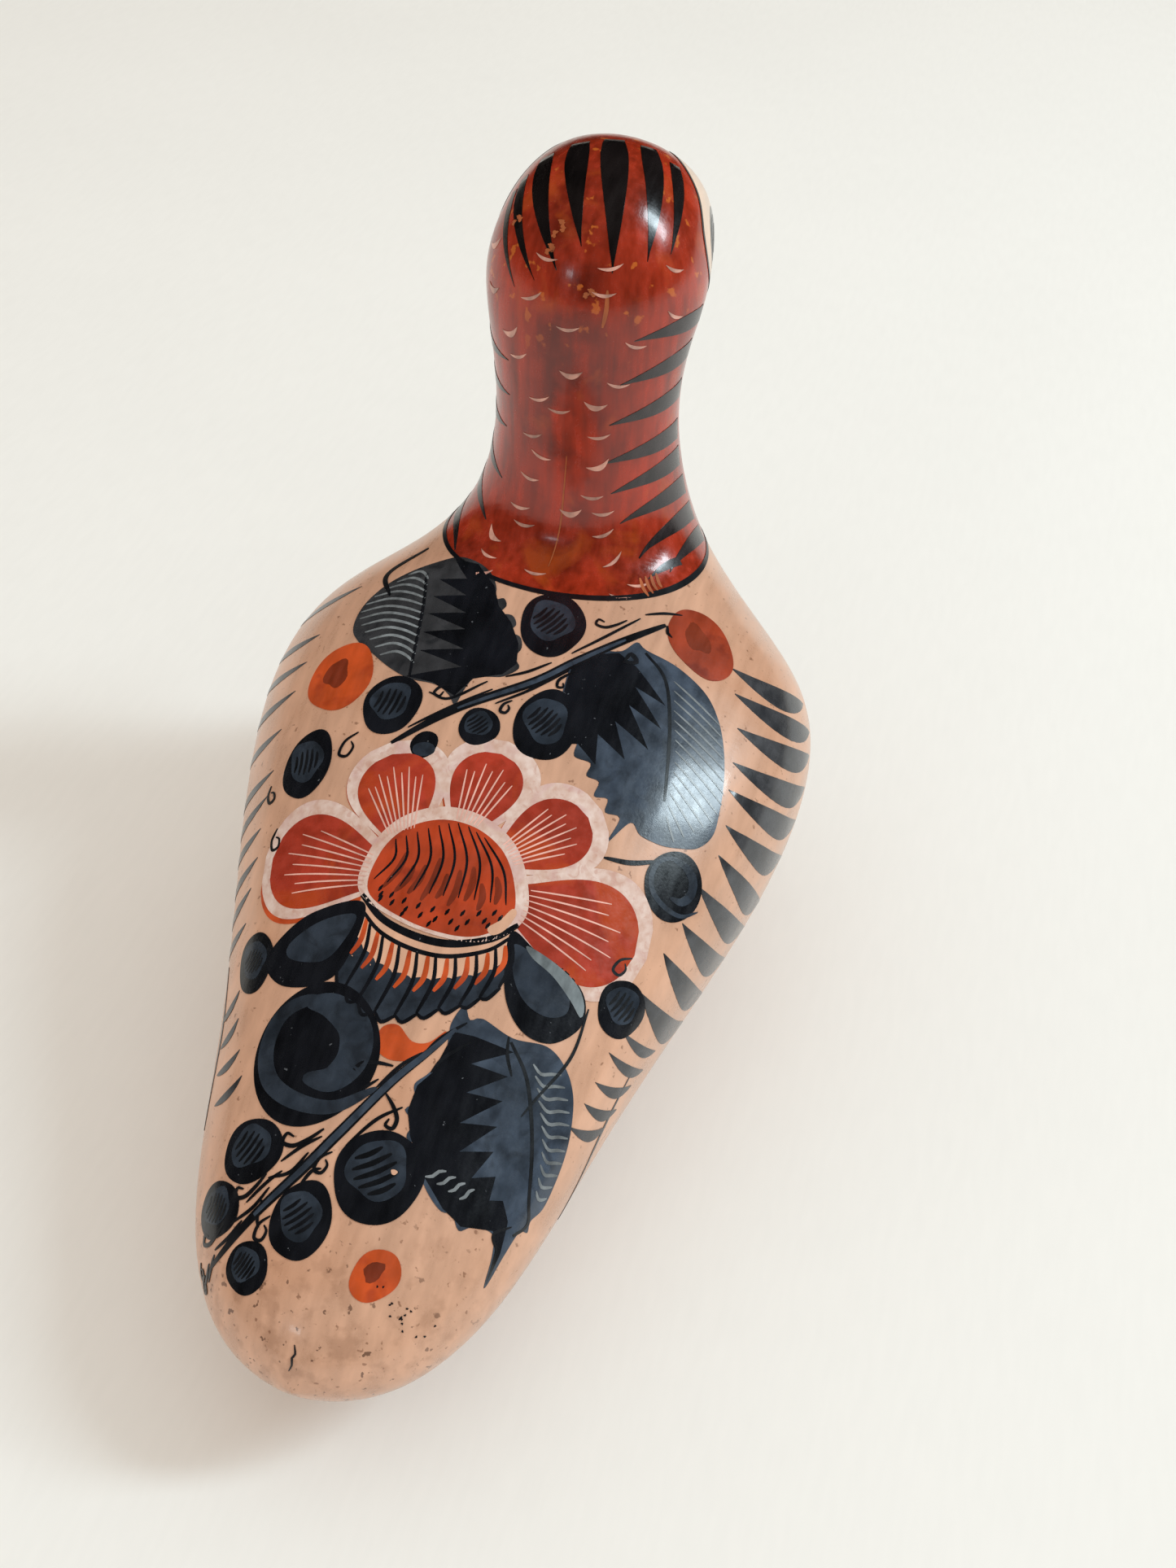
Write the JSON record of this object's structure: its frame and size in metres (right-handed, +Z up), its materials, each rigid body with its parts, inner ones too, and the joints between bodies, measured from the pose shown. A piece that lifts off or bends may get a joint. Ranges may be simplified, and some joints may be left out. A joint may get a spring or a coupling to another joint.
{
  "type": "clay bird rattle",
  "caption": "Hollow burnished clay bird with a rounded body, blunt raised tail, upright neck and small head, slip-painted with flowers, leaves and feather strokes.",
  "frame": {"origin": "centre of the bounding box at the resting face (the flat under the belly)", "axes": "the bird faces -Y and its tail points to +Y; +Z is up; X = 0 is the plane of symmetry, with the bird's right side on -X"},
  "size_m": [0.1528, 0.2888, 0.219],
  "materials": {
    "cream_slip_clay": "burnished cream slip over fired clay",
    "red_slip_clay": "burnished red slip over fired clay",
    "beak_clay": "burnished dark slip over fired clay",
    "bare_clay": "bare fired clay"
  },
  "bodies": {
    "bird": {"body_shell_right": "cream_slip_clay", "body_shell_left": "cream_slip_clay", "neck_head_shell_right": "red_slip_clay", "neck_head_shell_left": "red_slip_clay", "beak": "beak_clay"},
    "pellet_a": {"pellet_1": "bare_clay"},
    "pellet_b": {"pellet_2": "bare_clay"},
    "pellet_c": {"pellet_3": "bare_clay"},
    "pellet_d": {"pellet_4": "bare_clay"},
    "pellet_e": {"pellet_5": "bare_clay"},
    "pellet_f": {"pellet_6": "bare_clay"}
  },
  "joints": [
    {"name": "pellet_a_rock", "type": "hinge", "parent": "bird", "child": "pellet_a", "pos_m": [-0.0225, -0.01163, 0.13], "axis": [1, 0, 0], "range_deg": [-15, 15]},
    {"name": "pellet_b_rock", "type": "hinge", "parent": "bird", "child": "pellet_b", "pos_m": [-0.0135, -0.01163, 0.13], "axis": [1, 0, 0], "range_deg": [-15, 15]},
    {"name": "pellet_c_rock", "type": "hinge", "parent": "bird", "child": "pellet_c", "pos_m": [-0.0045, -0.01163, 0.13], "axis": [1, 0, 0], "range_deg": [-15, 15]},
    {"name": "pellet_d_rock", "type": "hinge", "parent": "bird", "child": "pellet_d", "pos_m": [0.0045, -0.01163, 0.13], "axis": [1, 0, 0], "range_deg": [-15, 15]},
    {"name": "pellet_e_rock", "type": "hinge", "parent": "bird", "child": "pellet_e", "pos_m": [0.0135, -0.01163, 0.13], "axis": [1, 0, 0], "range_deg": [-15, 15]},
    {"name": "pellet_f_rock", "type": "hinge", "parent": "bird", "child": "pellet_f", "pos_m": [0.0225, -0.01163, 0.13], "axis": [1, 0, 0], "range_deg": [-15, 15]}
  ]
}
